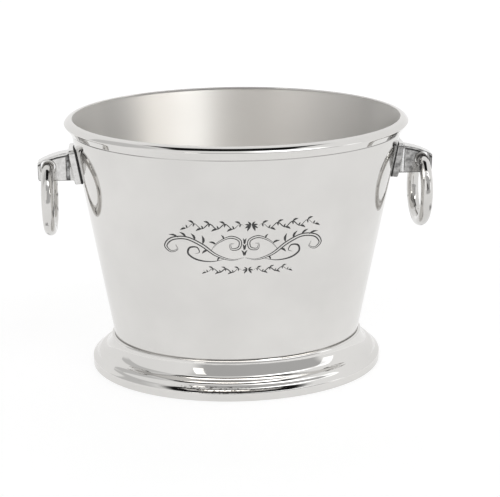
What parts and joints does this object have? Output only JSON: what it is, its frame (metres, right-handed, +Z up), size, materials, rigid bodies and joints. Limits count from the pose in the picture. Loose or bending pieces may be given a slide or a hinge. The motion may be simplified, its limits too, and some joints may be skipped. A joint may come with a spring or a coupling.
{
  "type": "oval champagne bucket",
  "caption": "Oval, tapered metal wine cooler bucket with a rolled rim, a moulded foot and a swinging ring handle on a cast bracket at each end.",
  "frame": {"origin": "on the surface the foot stands on, under the middle of the oval", "axes": "+X along the long axis of the oval, through both ring handles; +Y along the short axis, towards the back; +Z up"},
  "size_m": [0.3844, 0.24, 0.2563],
  "materials": {
    "plated_sheet": "nickel plated, mirror polished outside and satin inside",
    "plated_foot": "nickel plated, polished moulding",
    "plated_casting": "nickel plated sand casting, softly polished with fine pits",
    "plated_ring": "nickel plated, polished",
    "seal_rubber": "matt black",
    "screw_steel": "stainless, turned"
  },
  "bodies": {
    "root": {"bracket_gasket_left": "seal_rubber", "bracket_gasket_right": "seal_rubber", "bracket_left": "plated_casting", "bracket_right": "plated_casting", "bucket_shell": "plated_sheet", "foot_screw_front_left": "screw_steel", "foot_screw_front_right": "screw_steel", "foot_screw_rear_left": "screw_steel", "foot_screw_rear_right": "screw_steel", "foot_washer_front_left": "screw_steel", "foot_washer_front_right": "screw_steel", "foot_washer_rear_left": "screw_steel", "foot_washer_rear_right": "screw_steel", "handle_screw_left_lower": "screw_steel", "handle_screw_left_upper": "screw_steel", "handle_screw_right_lower": "screw_steel", "handle_screw_right_upper": "screw_steel", "pedestal_foot": "plated_foot", "rim_band": "plated_sheet", "sealing_washer_left_lower": "seal_rubber", "sealing_washer_left_upper": "seal_rubber", "sealing_washer_right_lower": "seal_rubber", "sealing_washer_right_upper": "seal_rubber"},
    "ring_left": {"ring_handle_left": "plated_ring"},
    "ring_right": {"ring_handle_right": "plated_ring"}
  },
  "joints": [
    {"name": "ring_left_swing", "type": "hinge", "parent": "root", "child": "ring_left", "pos_m": [-0.1825, 0, 0.2082], "axis": [0, 1, 0], "range_deg": [-30, 193]},
    {"name": "ring_right_swing", "type": "hinge", "parent": "root", "child": "ring_right", "pos_m": [0.1825, 0, 0.2082], "axis": [0, -1, 0], "range_deg": [-30, 193]}
  ]
}
